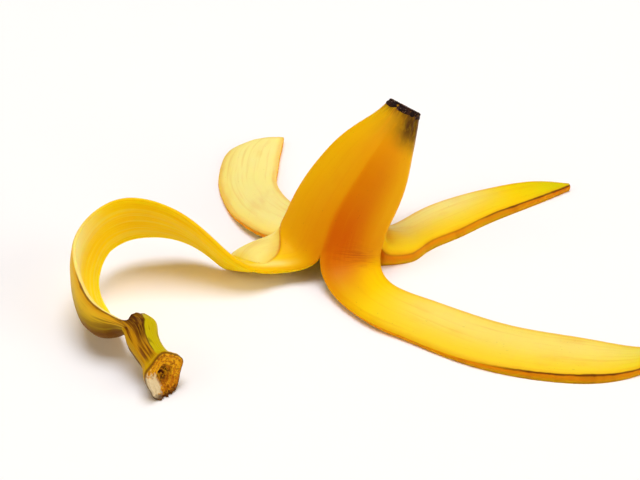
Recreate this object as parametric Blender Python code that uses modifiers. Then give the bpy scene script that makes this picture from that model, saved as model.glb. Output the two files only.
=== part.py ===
"""Banana peel, standing on its four opened strips, with the stem still on one of them."""

import math

import bmesh
import bpy
import numpy as np

MM = 0.001

# The peel
PEEL_THICKNESS = 3.6
FLOOR_TRIM = 0.7  # how much of the undersides is pressed flat by the floor
RIDGE_HEIGHT = 0.022  # of the five faint ridges that run down the fruit
RIDGE_AZIMUTH = 259.0

# The closed end, from the blossom tip down: x, y, z, half width, half depth
CONE_STATIONS = [
    (32.0, 7.2, 56.0, 6.0, 5.5),
    (28.4, 4.2, 50.0, 8.9, 8.0),
    (22.0, 0.3, 40.5, 13.9, 11.8),
    (13.8, -5.0, 27.5, 17.6, 14.1),
    (7.4, -9.8, 16.5, 18.8, 14.5),
    (4.9, -12.8, 9.0, 19.7, 14.8),
]
TIP_DIMPLE = 1.2

# Where the peel is torn: azimuth round the cone and distance down from the tip
TEARS = {
    "back": (72.0, 50.0),
    "left": (160.0, 59.0),
    "front": (259.0, 61.5),
    "right": (337.0, 54.5),
}

# The strips from the cone outwards, along the middle of the skin side:
# x, y, z, width, then in degrees the bank of the width, the half angle of the crown
# and the slant of the width against the strip's run
STEM_STRIP = [
    (-25.2, -23.1, 5.9, 25.3, 11, 30, 0),
    (-29.5, -26.8, 7.0, 20.1, 27, 18, 0),
    (-39.9, -24.6, 14.5, 21.6, 55, 14, 0),
    (-57.1, -21.3, 24.8, 22.5, 59, 14, 0),
    (-72.6, -22.6, 26.7, 22.5, 69, 16, 0),
    (-82.9, -31.8, 24.3, 22.4, 83, 20, 0),
    (-86.0, -44.7, 20.2, 22.8, 99, 30, 0),
    (-82.9, -55.6, 17.6, 22.4, 108, 46, 0),
    (-76.2, -66.2, 14.7, 17.8, 118, 60, 0),
    (-69.0, -72.0, 14.7, 12.2, 122, 68, 0),
    (-64.0, -76.5, 14.4, 10.2, 115, 62, 0),
]
BACK_STRIP = [
    (-19.1, 9.9, 5.6, 23.6, 0, 16, 0),
    (-26.0, 22.8, 4.0, 23.4, 0, 12, 0),
    (-29.7, 37.9, 3.65, 23.8, 0, 10, 0),
    (-29.5, 46.7, 3.6, 24.3, 0, 9, -4),
    (-28.9, 55.3, 3.6, 23.9, 0, 9, -6),
    (-27.0, 63.6, 3.6, 21.7, 0, 9, -20),
    (-23.1, 70.8, 3.6, 15.3, 0, 9, -39),
]
RIGHT_STRIP = [
    (28.1, -7.6, 4.6, 23.6, 0, 22, 0),
    (36.2, -1.4, 4.0, 20.5, 0, 14, 0),
    (46.6, 7.4, 3.7, 22.0, 0, 12, 0),
    (58.8, 16.2, 3.6, 20.9, 0, 12, 0),
    (73.5, 24.5, 3.6, 17.7, 0, 10, 0),
    (90.1, 31.6, 3.6, 11.5, 0, 9, 0),
    (101.8, 34.3, 3.6, 1.5, 0, 6, 0),
]
FRONT_STRIP = [
    (22.6, -45.9, 4.8, 22.2, 0, 20, 0),
    (34.4, -53.3, 4.0, 23.1, 0, 14, 0),
    (49.7, -62.8, 3.7, 24.5, 0, 12, 0),
    (65.9, -70.7, 3.6, 25.0, 0, 12, 0),
    (82.3, -75.0, 3.6, 24.5, 0, 11, 0),
    (98.1, -77.2, 3.6, 20.6, 0, 10, 0),
    (109.8, -76.3, 3.6, 13.8, 0, 9, 0),
    (120.5, -73.2, 3.6, 4.3, 0, 6, 0),
]
TUBE_MEMORY = 24.0  # how far past the tear a strip still keeps the round of the cone
# The crease where the skin laps over itself as the stem strip turns out from under the cone:
# distance past the tears, share of the width, and how far the fold stands up there, from 0 to 1
FOLD_LINE = [
    (-6.0, 0.25, 0.05),
    (-1.0, 0.29, 0.2),
    (2.0, 0.41, 0.5),
    (6.0, 0.53, 0.9),
    (9.7, 0.624, 1.0),
    (15.7, 0.748, 1.0),
    (19.5, 0.81, 1.0),
    (22.8, 0.845, 0.9),
    (25.2, 0.80, 0.8),
    (25.8, 0.66, 0.6),
    (25.0, 0.50, 0.35),
    (23.0, 0.25, 0.0),
]
FOLD_WIDTH = 25.0
FOLD_LIP = 1.4
FOLD_DIP = 0.7
FOLD_REACH = 3.5
FOLD_STEP = 2.4  # between the dip and the lip, no finer than the faces

# The stem, from the torn collar to the broken end:
# distance along, half width towards the near side, half width towards the far side
STEM_START = (-68.0, -71.5, 15.6)
STEM_END = (-52.6, -91.0, 7.8)
STEM_FAR_SIDE = (0.75, 0.38, 0.54)
STEM_SECTIONS = [
    (0.5, 4.6, 6.4),
    (3.5, 4.7, 7.6),
    (8.0, 4.5, 8.2),
    (11.0, 4.5, 6.7),
    (16.0, 4.7, 5.4),
    (20.0, 5.3, 5.7),
    (23.5, 7.0, 7.4),
    (26.5, 7.8, 8.0),
]
END_SLANT = 0.55  # of the broken end, further out below than above
STEM_FACETS = 5
STEM_FACETING = 0.06
STEM_FACET_TURN = -18.0

# Fineness
CONE_ROWS = 15
STRIP_COLUMNS = 6
STEM_STRIP_COLUMNS = 10
ROW_LENGTH = 4.2
STEM_ROW_LENGTH = 3.2
STEM_AROUND = 20


def unit(vectors):
    return vectors / np.linalg.norm(vectors, axis=-1, keepdims=True)


def ease(t):
    t = min(max(t, 0.0), 1.0)
    return t * t * (3 - 2 * t)


def spline(knots, values, at):
    """Natural cubic spline through rows of values."""
    step = np.diff(knots)
    count = len(knots)
    slopes = np.diff(values, axis=0) / step[:, None]
    matrix = np.eye(count)
    right_side = np.zeros_like(values)
    for i in range(1, count - 1):
        matrix[i, i - 1 : i + 2] = step[i - 1], 2 * (step[i - 1] + step[i]), step[i]
        right_side[i] = 6 * (slopes[i] - slopes[i - 1])
    bend = np.linalg.solve(matrix, right_side)
    k = np.clip(np.searchsorted(knots, at, side="right") - 1, 0, count - 2)
    width = step[k][:, None]
    before = (knots[k + 1] - at)[:, None]
    after = (at - knots[k])[:, None]
    return (
        (bend[k] * before**3 + bend[k + 1] * after**3) / (6 * width)
        + (values[k] / width - bend[k] * width / 6) * before
        + (values[k + 1] / width - bend[k + 1] * width / 6) * after
    )


def run_lengths(points):
    return np.concatenate([[0.0], np.cumsum(np.linalg.norm(np.diff(points, axis=0), axis=1))])


def cone_point(distance, azimuth):
    """A point of the skin of the closed end, by distance down its axis and azimuth in degrees."""
    stations = np.array(CONE_STATIONS)
    knots = run_lengths(stations[:, :3])
    near = spline(knots, stations, np.array([distance - 0.2, distance, distance + 0.2]))
    heading = unit(near[2, :3] - near[0, :3])
    rightward = np.array([1.0, 0.0, 0.0])
    rightward = unit(rightward - (rightward @ heading) * heading)
    backward = np.cross(rightward, heading)
    angle = math.radians(azimuth)
    ridge = 1 + RIDGE_HEIGHT * math.cos(5 * (angle - math.radians(RIDGE_AZIMUTH)))
    centre, half_width, half_depth = near[1, :3], near[1, 3], near[1, 4]
    return centre + ridge * (
        half_width * math.cos(angle) * rightward + half_depth * math.sin(angle) * backward
    )


def station_edges(stations):
    """The two edges of a strip at its stations."""
    stations = np.array(stations, dtype=float)
    middle = stations[:, :3]
    knots = run_lengths(middle)
    ahead = spline(knots, middle, np.minimum(knots + 0.5, knots[-1]))
    behind = spline(knots, middle, np.maximum(knots - 0.5, 0.0))
    heading = unit(ahead - behind)
    level = unit(np.cross([0.0, 0.0, 1.0], heading))
    lift = np.cross(heading, level)
    bank, slant = np.radians(stations[:, 4:5]), np.radians(stations[:, 6:7])
    across = np.cos(bank) * level + np.sin(bank) * lift
    across = np.cos(slant) * across + np.sin(slant) * heading
    half = stations[:, 3:4] / 2
    return middle - across * half, middle + across * half


def strip_surface(stations, first_tear, second_tear, columns, row_length):
    """Rows of skin points of one strip, from the tear at the cone out to its end."""
    azimuths = [TEARS[first_tear][0], TEARS[second_tear][0]]
    if azimuths[1] < azimuths[0]:
        azimuths[0] -= 360
    tears = [TEARS[first_tear][1], TEARS[second_tear][1]]
    edges, runs = [], []
    for edge, azimuth, tear in zip(station_edges(stations), azimuths, tears):
        lead = [cone_point(tear - back, azimuth) for back in (12.0, 6.0, 0.0)]
        points = np.vstack([lead, edge])
        run = run_lengths(points)
        edges.append(points)
        runs.append(run - run[2])
    knots = (runs[0] + runs[1]) / 2
    rows = max(6, round(knots[-1] / row_length))
    at = np.linspace(0.0, knots[-1], rows + 1)
    first, second = (spline(knots, points, at) for points in edges)
    crowns = np.array([station[5] for station in stations], dtype=float)
    crown_knots = np.concatenate([[0.0], knots[3:]])
    crown = spline(crown_knots, np.concatenate([crowns[:1], crowns])[:, None], at)[:, 0]

    across = np.linspace(0.0, 1.0, columns + 1)
    arc = np.array(
        [
            cone_point(tears[0] + (tears[1] - tears[0]) * u, azimuths[0] + (azimuths[1] - azimuths[0]) * u)
            for u in across
        ]
    )
    heading = unit(np.gradient((first + second) / 2, at, axis=0))
    width_way = unit(second - first)
    outward = unit(np.cross(heading, width_way))
    chord = np.linalg.norm(second - first, axis=1)
    lean = arc - (first[0] + (second[0] - first[0]) * across[:, None])
    kept = np.stack([lean @ outward[0], lean @ width_way[0], lean @ heading[0]], axis=1) / chord[0]

    surface = []
    for i in range(rows + 1):
        opened = ease(at[i] / TUBE_MEMORY)
        half_angle = math.radians(crown[i])
        radius = chord[i] / 2 / math.sin(half_angle)
        angle = (2 * across - 1) * half_angle
        rise = radius * (np.cos(angle) - math.cos(half_angle))
        slide = radius * np.sin(angle) - (across - 0.5) * chord[i]
        row = first[i] + (second[i] - first[i]) * across[:, None]
        round_part = kept * chord[i] * (1 - opened)
        row = row + (round_part[:, 0:1] + opened * rise[:, None]) * outward[i]
        row = row + (round_part[:, 1:2] + opened * slide[:, None]) * width_way[i]
        row = row + round_part[:, 2:3] * heading[i]
        surface.append(row)
    return surface, at, azimuths, tears


def folded(rows, at):
    """The rows of the stem strip with the fold raised on them; at is each row's distance past the tears."""
    grid = np.array(rows)
    outward = unit(np.cross(np.gradient(grid, axis=0), np.gradient(grid, axis=1)))
    line = np.array(FOLD_LINE)
    knots = run_lengths(line[:, :2] * (1, FOLD_WIDTH))
    line = spline(knots, line, np.linspace(0.0, knots[-1], 200))
    course = line[:, :2] * (1, FOLD_WIDTH)
    forward = unit(np.gradient(course, axis=0))
    for i, past in enumerate(at):
        for j, share in enumerate(np.linspace(0.0, 1.0, grid.shape[1])):
            apart = np.array([past, share * FOLD_WIDTH]) - course
            nearest = np.argmin((apart**2).sum(axis=1))
            ahead, gap = forward[nearest], apart[nearest]
            away = math.copysign(np.linalg.norm(gap), ahead[0] * gap[1] - ahead[1] * gap[0])
            lapped = ease(away / FOLD_STEP + 0.5)
            strength = max(line[nearest, 2], 0.0) * ease((1 - share) * FOLD_WIDTH / 4)
            height = FOLD_LIP * lapped - FOLD_DIP * (1 - lapped)
            grid[i, j] += strength * height * math.exp(-((away / FOLD_REACH) ** 2)) * outward[i, j]
    return list(grid)


def add_rows(mesh, rows):
    """Joins rows of equal length with quads whose outer side is the skin."""
    vertices = [[mesh.verts.new(point * MM) for point in row] for row in rows]
    for upper, lower in zip(vertices, vertices[1:]):
        for i in range(len(upper) - 1):
            mesh.faces.new((upper[i], lower[i], lower[i + 1], upper[i + 1]))
    return vertices


def build_skin():
    """The outer skin as one open surface: the cone, its tip and the four strips."""
    mesh = bmesh.new()
    tip_ring = []
    for stations, first_tear, second_tear in (
        (STEM_STRIP, "left", "front"),
        (FRONT_STRIP, "front", "right"),
        (RIGHT_STRIP, "right", "back"),
        (BACK_STRIP, "back", "left"),
    ):
        with_stem = stations is STEM_STRIP
        columns = STEM_STRIP_COLUMNS if with_stem else STRIP_COLUMNS
        row_length = STEM_ROW_LENGTH if with_stem else ROW_LENGTH
        surface, at, azimuths, tears = strip_surface(
            stations, first_tear, second_tear, columns, row_length
        )
        across = np.linspace(0.0, 1.0, columns + 1)
        cone_rows = [
            np.array(
                [
                    cone_point(
                        (tears[0] + (tears[1] - tears[0]) * u) * i / CONE_ROWS,
                        azimuths[0] + (azimuths[1] - azimuths[0]) * u,
                    )
                    for u in across
                ]
            )
            for i in range(CONE_ROWS)
        ]
        rows = cone_rows + surface
        if with_stem:
            cone_at = [sum(tears) / 2 * (i / CONE_ROWS - 1) for i in range(CONE_ROWS)]
            rows = folded(rows, cone_at + list(at))
        vertices = add_rows(mesh, rows)
        tip_ring += vertices[0][:-1]
    top = np.array(CONE_STATIONS[0][:3])
    down = unit(np.array(CONE_STATIONS[1][:3]) - top)
    centre = mesh.verts.new((top + down * TIP_DIMPLE) * MM)
    for one, other in zip(tip_ring, tip_ring[1:] + tip_ring[:1]):
        mesh.faces.new((centre, one, other))
    bmesh.ops.remove_doubles(mesh, verts=mesh.verts, dist=1e-6)
    return mesh


def build_stem():
    """The stem as a closed loft of softly five-sided sections, its two ends torn and broken."""
    start, end = np.array(STEM_START), np.array(STEM_END)
    axis = unit(end - start)
    far = np.array(STEM_FAR_SIDE)
    far = unit(far - (far @ axis) * axis)
    side = np.cross(axis, far)
    turn = math.radians(STEM_FACET_TURN)
    mesh = bmesh.new()
    rings = []
    for along, near_half, far_half in STEM_SECTIONS:
        half = (near_half + far_half) / 2
        centre = start + axis * along + far * (far_half - near_half) / 2
        slant = END_SLANT * ease((along - 20.0) / 6.5)
        ring = []
        for i in range(STEM_AROUND):
            angle = 2 * math.pi * i / STEM_AROUND
            radius = half * (1 + STEM_FACETING * math.cos(STEM_FACETS * (angle - turn)))
            out = radius * (math.cos(angle) * far + math.sin(angle) * side)
            ring.append(mesh.verts.new((centre + out - slant * out[2] * axis) * MM))
        rings.append(ring)
    for ring, following in zip(rings, rings[1:]):
        for i in range(STEM_AROUND):
            j = (i + 1) % STEM_AROUND
            mesh.faces.new((ring[i], ring[j], following[j], following[i]))
    mesh.faces.new(list(reversed(rings[0])))
    mesh.faces.new(rings[-1])
    bmesh.ops.recalc_face_normals(mesh, faces=mesh.faces)
    return mesh


def add_object(name, mesh, collection):
    data = bpy.data.meshes.new(name)
    mesh.to_mesh(data)
    mesh.free()
    made = bpy.data.objects.new(name, data)
    collection.objects.link(made)
    return made


def add_collection(name):
    made = bpy.data.collections.new(name)
    bpy.context.scene.collection.children.link(made)
    return made


def peel_material():
    material = bpy.data.materials.new("peel_yellow")
    material.use_nodes = True
    shader = material.node_tree.nodes["Principled BSDF"]
    shader.inputs["Base Color"].default_value = (0.85, 0.50, 0.02, 1.0)
    shader.inputs["Roughness"].default_value = 0.5
    shader.inputs["Metallic"].default_value = 0.0
    return material


for old in list(bpy.data.objects):
    bpy.data.objects.remove(old)
scene = bpy.context.scene
scene.unit_settings.system = "METRIC"
whole = add_collection("banana_peel")
helpers = add_collection("helpers")
helpers.hide_render = True

stem = add_object("stem_form", build_stem(), helpers)
stem.hide_render = True
stem.display_type = "WIRE"

floor_block = bmesh.new()
bmesh.ops.create_cube(floor_block, size=1.0)
bmesh.ops.scale(floor_block, verts=floor_block.verts, vec=(0.4, 0.4, 0.04))
bmesh.ops.translate(floor_block, verts=floor_block.verts, vec=(0.0, 0.0, FLOOR_TRIM * MM - 0.02))
floor = add_object("floor_form", floor_block, helpers)
floor.hide_render = True
floor.display_type = "WIRE"

peel = add_object("peel", build_skin(), whole)
peel.data.materials.append(peel_material())
thicken = peel.modifiers.new("thickness", "SOLIDIFY")
thicken.thickness = PEEL_THICKNESS * MM
thicken.offset = -1
thicken.use_quality_normals = True
join = peel.modifiers.new("stem", "BOOLEAN")
join.operation = "UNION"
join.solver = "EXACT"
join.object = stem
trim = peel.modifiers.new("floor", "BOOLEAN")
trim.operation = "DIFFERENCE"
trim.solver = "EXACT"
trim.object = floor

graph = bpy.context.evaluated_depsgraph_get()
finished = bpy.data.meshes.new_from_object(peel.evaluated_get(graph))
peel.modifiers.clear()
peel.data = finished
corners = np.array([vertex.co[:] for vertex in finished.vertices])
middle = (corners.min(axis=0) + corners.max(axis=0)) / 2
for vertex in finished.vertices:
    vertex.co.x -= middle[0]
    vertex.co.y -= middle[1]
    vertex.co.z -= FLOOR_TRIM * MM
finished.shade_smooth()
finished.set_sharp_from_angle(angle=math.radians(35))
print("moved by", (middle / MM).round(3), "size", ((corners.max(axis=0) - corners.min(axis=0)) / MM).round(2))
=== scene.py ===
import math

import bmesh
import bpy
import numpy as np
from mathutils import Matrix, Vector, noise


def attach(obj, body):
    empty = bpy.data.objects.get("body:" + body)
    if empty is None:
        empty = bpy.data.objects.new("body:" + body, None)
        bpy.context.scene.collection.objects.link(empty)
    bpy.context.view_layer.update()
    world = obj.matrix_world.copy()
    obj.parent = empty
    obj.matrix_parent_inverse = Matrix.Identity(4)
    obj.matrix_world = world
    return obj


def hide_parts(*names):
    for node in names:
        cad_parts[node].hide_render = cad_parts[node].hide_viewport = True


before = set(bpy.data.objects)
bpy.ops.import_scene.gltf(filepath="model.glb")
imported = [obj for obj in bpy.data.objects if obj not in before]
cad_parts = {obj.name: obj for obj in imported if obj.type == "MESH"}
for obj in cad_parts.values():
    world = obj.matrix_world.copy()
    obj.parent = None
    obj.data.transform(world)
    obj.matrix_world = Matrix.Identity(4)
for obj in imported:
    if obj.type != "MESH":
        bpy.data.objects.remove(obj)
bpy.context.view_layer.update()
print("frame loaded")

mm = 0.001
# sizes below are in mm from the drawing's own origin, and this moves them into the frame
toFrame = np.array([-15.982, 12.193, -0.7])

view = {"distance": 600.0, "elevation": 35.0, "lens": 86.4}
studio = {
    # light from the walls and from the ceiling
    "wall": (1.75, 0.86, 0.08, 1.0),
    "ceiling": (0.92, 0.86, 0.68, 1.0),
    "fillStrength": 0.24,
    # how far up the walls give way to the ceiling, as the upward share of the direction
    "horizon": (0.15, 0.7),
    # place in metres, size in metres, watts and colour
    "softboxes": {
        "left softbox": ((-2.6, -0.9, 1.9), 2.4, 20.0, (1.0, 0.90, 0.70)),
        "right softbox": ((2.6, -1.3, 1.3), 2.0, 34.0, (1.0, 0.90, 0.70)),
        "top softbox": ((0.0, 0.25, 3.0), 1.8, 63.0, (0.95, 0.985, 1.12)),
    },
    # colour, half width and depth below the peel in metres
    "floor": (1.0, 1.0, 1.0, 1.0),
    "floorHalf": 1.6,
    "floorDrop": 0.02 * mm,
}


def addCamera():
    tilt = math.radians(view["elevation"])
    lens = bpy.data.cameras.new("camera")
    lens.lens = view["lens"]
    lens.sensor_width = 36
    camera = bpy.data.objects.new("camera", lens)
    bpy.context.scene.collection.objects.link(camera)
    place = np.array([0, -view["distance"] * math.cos(tilt), view["distance"] * math.sin(tilt)])
    camera.location = Vector((place + toFrame) * mm)
    camera.rotation_euler = (math.pi / 2 - tilt, 0, 0)
    bpy.context.scene.camera = camera


def addSoftbox(name, at, size, power, colour):
    lamp = bpy.data.lights.new(name, "AREA")
    lamp.shape = "SQUARE"
    lamp.size = size
    lamp.energy = power
    lamp.color = colour
    box = bpy.data.objects.new(name, lamp)
    box.location = at
    box.rotation_euler = (-Vector(at)).to_track_quat("-Z", "Y").to_euler()
    bpy.context.scene.collection.objects.link(box)


def addWorld():
    world = bpy.data.worlds.new("white room")
    world.use_nodes = True
    nodes, links = world.node_tree.nodes, world.node_tree.links
    nodes.clear()
    seen = nodes.new("ShaderNodeBackground")
    lit = nodes.new("ShaderNodeBackground")
    lit.inputs["Strength"].default_value = studio["fillStrength"]
    direction = nodes.new("ShaderNodeTexCoord")
    height = nodes.new("ShaderNodeSeparateXYZ")
    ramp = nodes.new("ShaderNodeMapRange")
    ramp.inputs["From Min"].default_value, ramp.inputs["From Max"].default_value = studio["horizon"]
    tint = nodes.new("ShaderNodeMix")
    tint.data_type = "RGBA"
    tint.inputs[6].default_value = studio["wall"]
    tint.inputs[7].default_value = studio["ceiling"]
    links.new(direction.outputs["Generated"], height.inputs[0])
    links.new(height.outputs["Z"], ramp.inputs["Value"])
    links.new(ramp.outputs[0], tint.inputs[0])
    links.new(tint.outputs[2], lit.inputs["Color"])
    seen.inputs["Color"].default_value = (1, 1, 1, 1)
    path = nodes.new("ShaderNodeLightPath")
    mix = nodes.new("ShaderNodeMixShader")
    out = nodes.new("ShaderNodeOutputWorld")
    links.new(path.outputs["Is Camera Ray"], mix.inputs["Fac"])
    links.new(lit.outputs[0], mix.inputs[1])
    links.new(seen.outputs[0], mix.inputs[2])
    links.new(mix.outputs[0], out.inputs["Surface"])
    bpy.context.scene.world = world


def addFloor():
    data = bpy.data.meshes.new("floor")
    half, level = studio["floorHalf"], -studio["floorDrop"]
    corners = [(-half, -half, level), (half, -half, level), (half, half, level), (-half, half, level)]
    data.from_pydata(corners, [], [(0, 1, 2, 3)])
    floor = bpy.data.objects.new("floor", data)
    bpy.context.scene.collection.objects.link(floor)
    material = bpy.data.materials.new("white sweep")
    material.use_nodes = True
    shader = material.node_tree.nodes["Principled BSDF"]
    shader.inputs["Base Color"].default_value = studio["floor"]
    shader.inputs["Roughness"].default_value = 0.9
    shader.inputs["Specular IOR Level"].default_value = 0.1
    data.materials.append(material)


addCamera()
addWorld()
addFloor()
for name, (at, size, power, colour) in studio["softboxes"].items():
    addSoftbox(name, at, size, power, colour)
bpy.context.scene.view_settings.view_transform = "Standard"
print("studio ready")


def unit(vectors):
    return vectors / np.maximum(np.linalg.norm(vectors, axis=-1, keepdims=True), 1e-9)


def ease(t):
    t = np.clip(t, 0.0, 1.0)
    return t * t * (3 - 2 * t)


def rise(value, start, length):
    return ease((value - start) / length)


def fall(value, start, length):
    return 1 - rise(value, start, length)


def hump(value, middle, spread):
    return np.exp(-(((value - middle) / spread) ** 2))


def spline(knots, values, at):
    # smooth curve through rows of values
    step = np.diff(knots)
    count = len(knots)
    slopes = np.diff(values, axis=0) / step[:, None]
    matrix = np.eye(count)
    rightSide = np.zeros_like(values)
    for i in range(1, count - 1):
        matrix[i, i - 1:i + 2] = step[i - 1], 2 * (step[i - 1] + step[i]), step[i]
        rightSide[i] = 6 * (slopes[i] - slopes[i - 1])
    bend = np.linalg.solve(matrix, rightSide)
    k = np.clip(np.searchsorted(knots, at, side="right") - 1, 0, count - 2)
    width = step[k][:, None]
    before = (knots[k + 1] - at)[:, None]
    after = (at - knots[k])[:, None]
    return (
        (bend[k] * before**3 + bend[k + 1] * after**3) / (6 * width)
        + (values[k] / width - bend[k] * width / 6) * before
        + (values[k + 1] / width - bend[k + 1] * width / 6) * after
    )


def runLengths(points):
    return np.concatenate([[0.0], np.cumsum(np.linalg.norm(np.diff(points, axis=0), axis=1))])


def bumps(points, sizes, seed):
    # smooth noise between -1 and 1; sizes are how big a bump is along each axis, in mm
    scaled = points / np.array(sizes) + seed * np.array([7.3, 3.1, 5.7])
    heights = [noise.noise(Vector(point)) for point in scaled.reshape(-1, 3)]
    return np.array(heights).reshape(points.shape[:-1])


def column(table, at, number):
    # the given column of a table, read between its rows at places along its first column
    table = np.array(table, dtype=float)
    return np.interp(at, table[:, 0], table[:, number])


peel = {
    "thickness": 3.6,
    # width that the columns of a strip are spaced for
    "usualWidth": 24.0,
    # the stem strip thins towards its torn edges, by this share within this reach
    "stemThinning": 0.6,
    "thinReach": 4.0,
    # how far in from the near edge the skin may draw back or the pith reach down
    "shoulder": 3.5,
    # points of notches nearer than this are one point
    "seamGap": 0.002,
    # columns beside the torn edges, in mm from them
    "edgeColumns": (0.0, 0.2, 0.45, 0.85),
    "rimSteps": 6,
    "rimBulge": 0.35,
    # mm past the tear over which a strip keeps the round of the fruit
    "tubeMemory": 24.0,
    # how the bend at the tears is rounded over: reach in mm, rounds and strength of each
    "bendReach": 7.0,
    "bendRounds": 40,
    "bendStrength": 0.8,
    # a torn edge is led in from points of the cone this far above its tear, in mm
    "leadIn": (12.0, 6.0, 0.0),
    # the whole fruit, with five low ridges
    "fruitRadius": 17.0,
    "ridges": 5,
    "ridgeHeight": 0.022,
    "ridgeAzimuth": 259.0,
    "coneRows": 76,
    # x, y, z, half width, half depth of the closed end, from the blossom tip down
    "cone": [
        (32.0, 7.2, 56.0, 6.0, 5.5),
        (28.4, 4.2, 50.0, 8.9, 8.0),
        (22.0, 0.3, 40.5, 13.9, 11.8),
        (13.8, -5.0, 27.5, 17.6, 14.1),
        (7.4, -9.8, 16.5, 18.8, 14.5),
        (4.9, -12.8, 9.0, 19.7, 14.8),
    ],
    # azimuth round the cone and distance down from the tip
    "tears": {
        "back": (72.0, 50.0), "left": (160.0, 59.0), "front": (259.0, 61.5), "right": (337.0, 54.5),
    },
}
fold = {
    # the crease, as mm past the tears and share of the strip's width, with its height and depth of colour
    "line": [
        (-16.0, 0.26, 0.0, 0.0), (-11.0, 0.27, 0.0, 0.5), (-6.0, 0.25, 0.05, 1.0), (-1.0, 0.29, 0.2, 1.0),
        (2.0, 0.41, 0.5, 1.0), (6.0, 0.53, 0.9, 1.0), (9.7, 0.624, 1.0, 1.0), (15.7, 0.748, 1.0, 1.0),
        (19.5, 0.81, 1.0, 1.0), (22.8, 0.845, 0.9, 1.0), (25.2, 0.80, 0.8, 1.0), (25.8, 0.66, 0.6, 0.8),
        (25.0, 0.50, 0.35, 0.4), (23.0, 0.25, 0.0, 0.0),
    ],
    "width": 25.0,
    # the skin stands up in a lip on one side and dips on the other, with a step between them
    "lip": 1.4,
    "lipReach": 3.5,
    "dip": 0.7,
    "dipReach": 3.0,
    "step": 0.45,
    # it fades out this near the strip's near edge
    "nearFade": 4.0,
    "steps": 240,
}
# each strip from the cone outwards, along the middle of its skin: x, y, z, width,
# then in degrees the bank of the width, the half angle of the crown and the slant;
# near is the torn edge towards the front, and lean how far it draws back and drops, in mm,
# at mm past the tears
strips = {
    "stem": {
        "between": ("left", "front"),
        "near": "second",
        # how far the skin of the loop stands off, at mm past the tears
        "swell": [
            (98, 0), (112, 0.5), (120, 1.2), (126, 2.1), (131, 1.9), (136, 0.6), (139, -0.8), (146, -2.4),
        ],
        # how far its inner edge spreads and is pushed to the right, at mm past the tears
        "spread": [
            (0, 0, 0), (38, 0, 0), (54, 2.6, 0), (66, 3.4, 0), (86, 3.2, 0), (96, 4.4, 1.2),
            (106, 4.4, 2.2), (118, 4.0, 2.8), (128, 3.0, 2.6), (136, 1.2, 1.2), (142, 0, 0),
        ],
        "faceSize": 0.57,
        "stations": [
            (-25.2, -23.1, 5.9, 25.3, 11, 30, 0),
            (-29.5, -26.8, 7.0, 20.1, 27, 18, 0),
            (-39.9, -24.6, 14.5, 21.6, 55, 14, 0),
            (-57.1, -21.3, 24.8, 22.5, 59, 14, 0),
            (-72.6, -22.6, 26.7, 22.5, 69, 16, 0),
            (-82.9, -31.8, 24.3, 22.4, 83, 20, 0),
            (-86.0, -44.7, 20.2, 22.8, 99, 30, 0),
            (-82.9, -55.6, 17.6, 22.4, 108, 46, 0),
            (-76.2, -66.2, 14.7, 17.8, 118, 60, 0),
            (-69.0, -72.0, 14.7, 12.2, 122, 68, 0),
            (-64.0, -76.5, 14.4, 10.2, 115, 62, 0),
        ],
    },
    "front": {
        "between": ("front", "right"),
        "near": "first",
        "lean": [
            (0, 0, 0), (15, -0.3, 1.3), (50, 0, 1.0), (68, 0.6, 0.3), (85, 1.6, 0), (105, 2.2, 0),
            (125, 0.5, 0),
        ],
        "faceSize": 0.74,
        "stations": [
            (22.6, -45.9, 4.8, 22.2, 0, 20, 0),
            (34.4, -53.3, 4.0, 23.1, 0, 14, 0),
            (49.7, -62.8, 3.7, 24.5, 0, 12, 0),
            (65.9, -70.7, 3.6, 25.0, 0, 12, 0),
            (82.3, -75.0, 3.6, 24.5, 0, 11, 0),
            (98.1, -77.2, 3.6, 20.6, 0, 10, 0),
            (109.8, -76.3, 3.6, 13.8, 0, 9, 0),
            (120.5, -73.2, 3.6, 4.3, 0, 6, 0),
        ],
    },
    "right": {
        "between": ("right", "back"),
        "near": "first",
        "lean": [
            (0, 0, 0), (4, -0.2, 0.3), (9, 1.2, 0), (15, 2.1, 0), (24, 2.1, 0), (60, 2.3, 0),
            (80, 1.4, 0), (105, 0, 0),
        ],
        # how far the pith under it stands out and reaches down
        "foot": [(0, 0, 0), (2, 1.0, 5), (13, 1.0, 5), (20, 0, 0)],
        "faceSize": 0.74,
        "stations": [
            (28.1, -7.6, 4.6, 23.6, 0, 22, 0),
            (36.2, -1.4, 4.0, 20.5, 0, 14, 0),
            (46.6, 7.4, 3.7, 22.0, 0, 12, 0),
            (58.8, 16.2, 3.6, 20.9, 0, 12, 0),
            (73.5, 24.5, 3.6, 17.7, 0, 10, 0),
            (90.1, 31.6, 3.6, 11.5, 0, 9, 0),
            (101.8, 34.3, 3.6, 1.5, 0, 6, 0),
        ],
    },
    "back": {
        "between": ("back", "left"),
        "near": "second",
        "lean": [(0, 0, 0), (15, 0, 0.4), (35, -0.3, 1.4), (90, 0, 1.4)],
        "faceSize": 0.74,
        "stations": [
            (-19.1, 9.9, 5.6, 23.6, 0, 16, 0),
            (-26.0, 22.8, 4.0, 23.4, 0, 12, 0),
            (-29.7, 37.9, 3.65, 23.8, 0, 10, 0),
            (-29.5, 46.7, 3.6, 24.3, 0, 9, -4),
            (-28.9, 55.3, 3.6, 23.9, 0, 9, -6),
            (-27.0, 63.6, 3.6, 21.7, 0, 9, -20),
            (-23.1, 70.8, 3.6, 15.3, 0, 9, -39),
        ],
    },
}


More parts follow.
